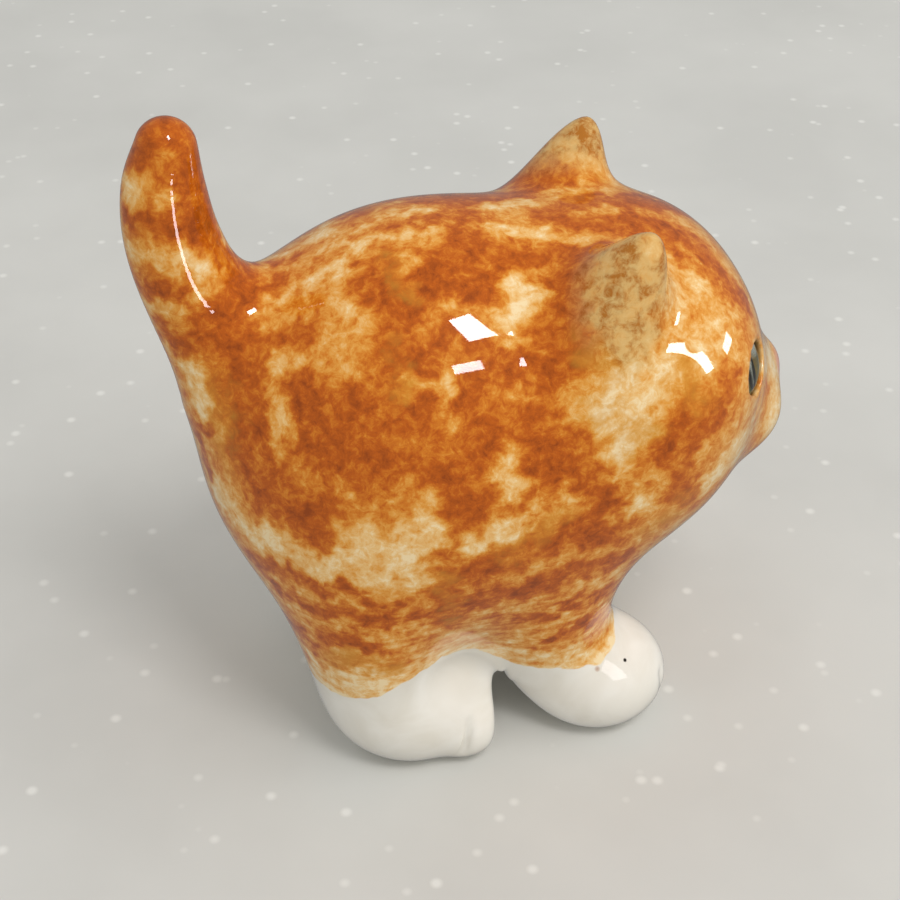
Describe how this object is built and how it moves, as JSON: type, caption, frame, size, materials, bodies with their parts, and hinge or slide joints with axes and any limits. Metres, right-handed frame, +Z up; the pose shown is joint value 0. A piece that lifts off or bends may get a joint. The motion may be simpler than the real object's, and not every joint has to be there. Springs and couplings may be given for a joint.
{
  "type": "cat figurine",
  "caption": "Small standing ceramic kitten with upright tail, ginger sponge-painted coat, white paws and inset glass eyes, for display on a shelf.",
  "frame": {"origin": "on the surface the kitten stands on, under the middle of its bounding box", "axes": "+X the way the nose points, +Y the cat's left, +Z up"},
  "size_m": [0.0951, 0.0584, 0.1026],
  "materials": {
    "glaze_ginger": "clear gloss glaze over sponged underglaze colour",
    "glaze_white": "clear gloss glaze over white slip",
    "eye_glass": "polished clear glass",
    "eye_paint": "gloss enamel paint with a dark slit pupil",
    "putty": "matt set putty"
  },
  "bodies": {
    "root": {"body_shell": "glaze_ginger", "head_shell": "glaze_ginger", "tail": "glaze_ginger", "left_ear": "glaze_ginger", "right_ear": "glaze_ginger", "left_rear_paw": "glaze_white", "right_rear_paw": "glaze_white", "left_front_paw": "glaze_white", "right_front_paw": "glaze_white", "left_eye_glass": "eye_glass", "right_eye_glass": "eye_glass", "left_eye_disc": "eye_paint", "right_eye_disc": "eye_paint", "left_eye_putty": "putty", "right_eye_putty": "putty"}
  },
  "joints": []
}
